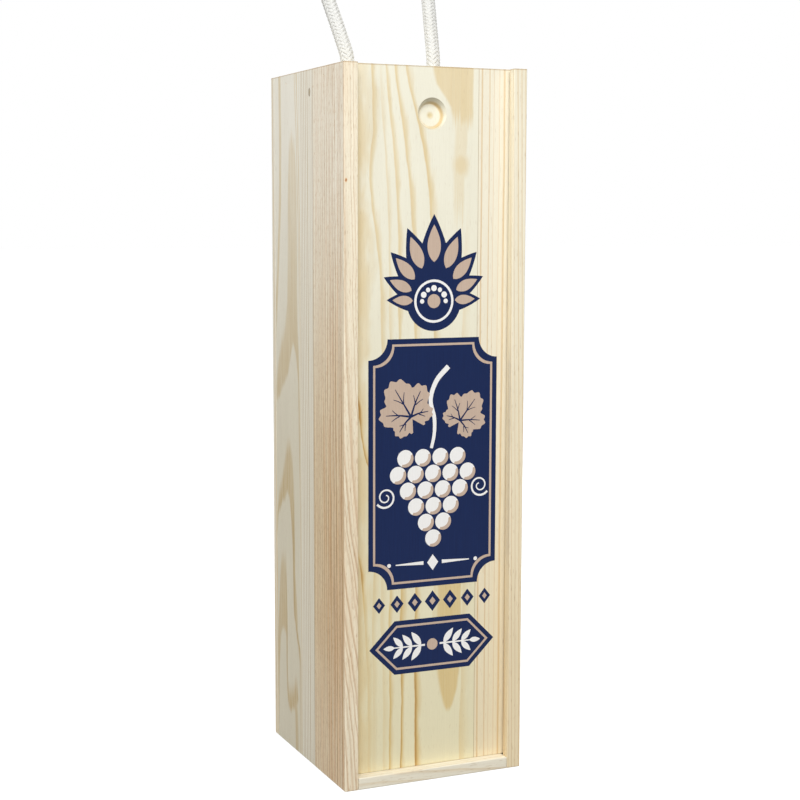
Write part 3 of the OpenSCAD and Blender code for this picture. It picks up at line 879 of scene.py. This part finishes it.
def ink_finish(name, colour, deeper):
    """Matt printing ink, nearly even: thinner along the wood's fibres, which show through as relief."""
    material, coordinates = new_finish(name)
    place = stretched(coordinates["Object"], 1 / mm)
    streaks = noise(place, 0.5, 18.0, seed=5.0, detail=3.0, roughness=0.6)
    grainy = noise(place, 0.18, 0.5, seed=9.0, detail=2.0, roughness=0.6)
    thin = scaled(grainy, 0.4, times(streaks, 0.6))
    set_finish(material, mixed(ramp(thin, 0.3, 0.75), deeper, colour), ramp(grainy, 0.3, 0.7, 0.42, 0.6),
               0.2, streaks, strength=0.4, depth=0.05)
    return material


navy_plates, stone_marks, white_marks = [], [], []

# The palmette: nine leaves fanned out of a round boss, each with a stone heart. On the boss lie a
# ring, seven seeds and a button.
fan_root = (print_middle, 238.0)
boss_radius, ring_outside, ring_inside, seed_circle, button_radius = 14.5, 10.5, 9.3, 6.3, 3.4
leaf_lengths = (42, 38, 33, 29, 25)
for step in range(-4, 5):
    turn, length, width = -22 * step, leaf_lengths[abs(step)], 17 - 1.5 * abs(step)
    navy_plates.append([moved(leaf_outline((0, 0), (0, length), width, 0.72), fan_root, turn)])
    heart = leaf_outline((0, length * 0.45), (0, length * 0.88), width * 0.42, 0.8)
    stone_marks.append([moved(heart, fan_root, turn)])
navy_plates.append([arc(fan_root, boss_radius, 0, 352, 46)])
white_marks.append([arc(fan_root, ring_outside, 0, 352, 46), arc(fan_root, ring_inside, 0, 352, 46)])
for turn in range(-90, 91, 30):
    seed = arc((0, seed_circle), 1.15 if turn % 60 else 1.5, 0, 340, 18)
    white_marks.append([moved(seed, fan_root, -turn)])
stone_marks.append([arc(fan_root, button_radius, 0, 350, 30)])

# The tall plate and its keyline.
plate_middle = (print_middle, 158.5)
plate_width, plate_height, plate_scoop = 69.0, 123.0, 10.0
navy_plates.append([scooped_plate(plate_middle, plate_width, plate_height, plate_scoop)])
stone_marks.append([scooped_plate(plate_middle, plate_width - inset, plate_height - inset, plate_scoop)
                    for inset in (5.0, 7.2)])

# The bunch: six rows of round grapes, each with a stone shade along its lower right.
grape = 4.75
across_step, down_step, grape_radius = grape * 1.98, grape * 1.7, grape * 0.91
bunch_top = 161.5
grape_shades = []
for row, (count, lean) in enumerate(((4, -0.8), (5, 0.0), (4, 0.6), (3, 0.3), (2, 0.9), (1, 0.2))):
    for k in range(count):
        x = print_middle + (k - (count - 1) / 2) * across_step + lean
        z = bunch_top - row * down_step
        white_marks.append([arc((x, z), grape_radius, 0, 348, 30)])
        outer = arc((x, z), grape_radius, -118, 28, 16)
        inner = arc((x - grape * 0.2, z + grape * 0.2), grape * 0.8, 8, -98, 16)
        grape_shades.append([outer + inner])

# A five-lobed vine leaf with a toothed edge, drawn round its stalk's foot. Each lobe is given by
# its angle, its length and its breadth; between the lobes the leaf is as wide as its middle.
lobes = ((90, 21.0, 0.6), (36, 17.5, 0.52), (144, 17.5, 0.52), (-18, 12.5, 0.55), (198, 12.5, 0.55))
leaf_middle, tooth_turn, tooth_share = 8.6, 7.5, 0.05
vine_leaf = []
for angle in np.arange(-66, 247, 2.5):
    reach = leaf_middle
    for lobe_angle, length, breadth in lobes:
        off_lobe = abs(angle - lobe_angle) / (breadth * 1.1)
        if off_lobe < 90:
            reach = max(reach, length * math.cos(math.radians(off_lobe)) ** 0.75)
    reach *= 1 + tooth_share * (abs((angle / tooth_turn) % 2 - 1) * 2 - 1)
    vine_leaf.append(on_circle((0, 0), reach, angle))
vine_leaf.append((0.0, -1.5))
veins = []
for angle, length, breadth in lobes:
    tip = np.array(on_circle((0, 0), length * 0.8, angle))
    veins.append(stroke_outline([(0, 0), tip * 0.5 + (0, 0.5), tip], 1.15, 0.35))
    for side in (-1, 1):
        fork = np.array(on_circle(tip * 0.5, length * 0.27, angle + side * 38))
        veins.append(stroke_outline([tip * 0.46, (tip * 0.5 + fork) / 2, fork], 0.6, 0.3))
leaf_veins = []
for middle, turn, size in (((print_middle - 12.0, 182.0), 32, 0.95), ((print_middle + 14.5, 179.0), -38, 0.78)):
    stone_marks.append([moved(vine_leaf, middle, turn, size)])
    leaf_veins += [[moved(vein, middle, turn, size)] for vein in veins]

# The cane that the bunch hangs from, and two tendrils.
cane = [(-1, 166), (0.5, 173), (0.5, 181), (-1.5, 190), (1.5, 199), (8, 206)]
white_marks.append([stroke_outline([(print_middle + x, z) for x, z in cane], 1.6, 2.6)])
for side, curl_height in ((1, 146.0), (-1, 143.0)):
    curl = []
    for angle in np.linspace(0.3, 3.3 * math.pi, 34):
        radius = 1.0 + 0.42 * angle
        inwards, up = radius * math.sin(angle), radius * math.cos(angle)
        curl.append((print_middle + side * (25.5 - inwards), curl_height + up))
    white_marks.append([stroke_outline(curl, 0.6, 1.1)])

# Under the bunch: a lozenge between two tapering strokes, with a dot beyond each.
rule_height = 109.0
white_marks.append([lozenge(print_middle, rule_height, 3, 4)])
for side in (-1, 1):
    rule = [(print_middle + side * x, rule_height) for x in (5, 12, 20)]
    white_marks.append([stroke_outline(rule, 1.8, 0.5)])
    white_marks.append([arc((print_middle + side * 23.5, rule_height), 1.0, 0, 340, 18)])

# The row of lozenges, which get smaller outwards.
row_height, row_step = 89.5, 9.6
for k in range(-3, 4):
    x, size = print_middle + k * row_step, 5.2 - 0.4 * abs(k)
    navy_plates.append([lozenge(x, row_height, size * 0.8, size)])
    stone_marks.append([lozenge(x, row_height, size * 0.32, size * 0.4)])

# The pointed plate, its keyline, and a sprig of paired leaves on either side of a boss.
low_middle = (print_middle, 67.5)
half_long, half_tall = 34.0, 13.5


def pointed_plate(inset):
    """The low plate's outline, so many mm in from its edge."""
    long, tall = half_long - inset * 1.4, half_tall - inset
    x, z = low_middle
    return [(x - long, z), (x - long + tall, z + tall), (x + long - tall, z + tall),
            (x + long, z), (x + long - tall, z - tall), (x - long + tall, z - tall)]


def beside_boss(side, outwards, up=0.0):
    return low_middle[0] + side * outwards, low_middle[1] + up


navy_plates.append([pointed_plate(0.0)])
stone_marks.append([pointed_plate(2.3), pointed_plate(3.4)])
for side in (-1, 1):
    white_marks.append([stroke_outline([beside_boss(side, x) for x in (4, 12, 22.5)], 1.0, 0.5)])
    for k in range(3):
        stalk = 6.2 + k * 4.9
        for up in (1, -1):
            tip = beside_boss(side, stalk + 5.2, up * (7.2 - 0.9 * k))
            white_marks.append([leaf_outline(beside_boss(side, stalk, up * 0.2), tip, 3.3 - 0.2 * k)])
    white_marks.append([leaf_outline(beside_boss(side, 20.5), beside_boss(side, 26.5), 2.6)])
stone_marks.append([arc(low_middle, 2.9, 0, 345, 24)])

navy_ink = ink_finish("navy_ink", paint(10, 34, 80), paint(6, 27, 70))
stone_ink = ink_finish("stone_ink", paint(212, 190, 172), paint(200, 176, 156))
white_ink = ink_finish("white_ink", paint(255, 254, 252), paint(250, 248, 244))
ink("print_navy", navy_plates, 0, navy_ink)
ink("print_white", white_marks, 1.2, white_ink)
ink("print_stone", stone_marks, 1.5, stone_ink)
ink("print_grape_shades", grape_shades, 2.3, stone_ink)
ink("print_leaf_veins", leaf_veins, 2.6, navy_ink)


# ---------------------------------------------------------------------------------------------
# FLOOR, LIGHT AND CAMERA
# A plain white floor, a large soft lamp over the camera's shoulder, weaker ones to the left and
# behind, and even light all round. The camera stands in front and to the left, looking slightly down.


def met_by_eye(tree):
    """1 for what is seen straight, in a reflection or through glass, and 0 for what only lights the box."""
    ray = tree.nodes.new("ShaderNodeLightPath").outputs
    return larger(ray["Is Camera Ray"], larger(ray["Is Glossy Ray"], ray["Is Transmission Ray"]))


bpy.ops.object.select_all(action="DESELECT")
bpy.ops.mesh.primitive_plane_add(size=30.0)
floor = bpy.context.active_object
floor.name = "floor"
floor_paint = bpy.data.materials.new("floor_paint")
floor_paint.use_nodes = True
tree = floor_paint.node_tree
tree.nodes.clear()
plain, pale = [add_step("BsdfDiffuse", (grey, grey, grey, 1), tree=tree).outputs[0] for grey in (0.3, 0.7)]
# To the eye it is lifted to white, a little less near the box, so that its shadow still shows.
spot = tree.nodes.new("ShaderNodeTexCoord").outputs["Object"]
glow = add_step("Emission", white, ramp(length_of(spot), 0.3, 2.0, 0.5, 0.74)).outputs[0]
bright = add_step("AddShader", pale, glow).outputs[0]
surface = add_step("MixShader", met_by_eye(tree), plain, bright).outputs[0]
plug(surface, tree.nodes.new("ShaderNodeOutputMaterial").inputs[0])
floor.data.materials.append(floor_paint)

world = bpy.data.worlds.new("world")
bpy.context.scene.world = world
world.use_nodes = True
tree = world.node_tree
tree.nodes.clear()
even, backdrop = [add_step("Background", white, strength, tree=tree).outputs[0] for strength in (0.38, 1.0)]
sky = add_step("MixShader", met_by_eye(tree), even, backdrop).outputs[0]
plug(sky, tree.nodes.new("ShaderNodeOutputWorld").inputs[0])


def softbox(name, place, aim, size, power):
    lamp = bpy.data.lights.new(name, "AREA")
    lamp.shape = "RECTANGLE"
    lamp.size, lamp.size_y = size
    lamp.energy = power
    holder = bpy.data.objects.new(name, lamp)
    holder.location = place
    holder.rotation_euler = (Vector(aim) - Vector(place)).to_track_quat("-Z", "Y").to_euler()
    bpy.context.scene.collection.objects.link(holder)


softbox("key", (-0.30, -0.98, 1.05), aim=(0, 0, 0.2), size=(0.9, 0.9), power=13.6)
softbox("fill_left", (-0.75, -0.1, 0.75), aim=(0, 0, 0.25), size=(0.6, 0.6), power=2.6)
softbox("fill_behind", (0.75, 0.75, 0.9), aim=(0, 0, 0.2), size=(0.9, 0.9), power=7.0)

bpy.context.scene.view_settings.view_transform = "Standard"
camera_data = bpy.data.cameras.new("camera")
camera = bpy.data.objects.new("camera", camera_data)
bpy.context.scene.collection.objects.link(camera)
bpy.context.scene.camera = camera
turned, tipped, rolled = math.radians(23.721), math.radians(-6.857), math.radians(0.139)
camera.location = (-0.3297, -0.7571, 0.2762)
camera.rotation_euler = (math.pi / 2 + tipped, -rolled, -turned)
picture_width, focal_pixels = 800, 1615.1
camera_data.sensor_width = 36.0
camera_data.lens = focal_pixels / picture_width * camera_data.sensor_width
camera_data.shift_y = 0.02
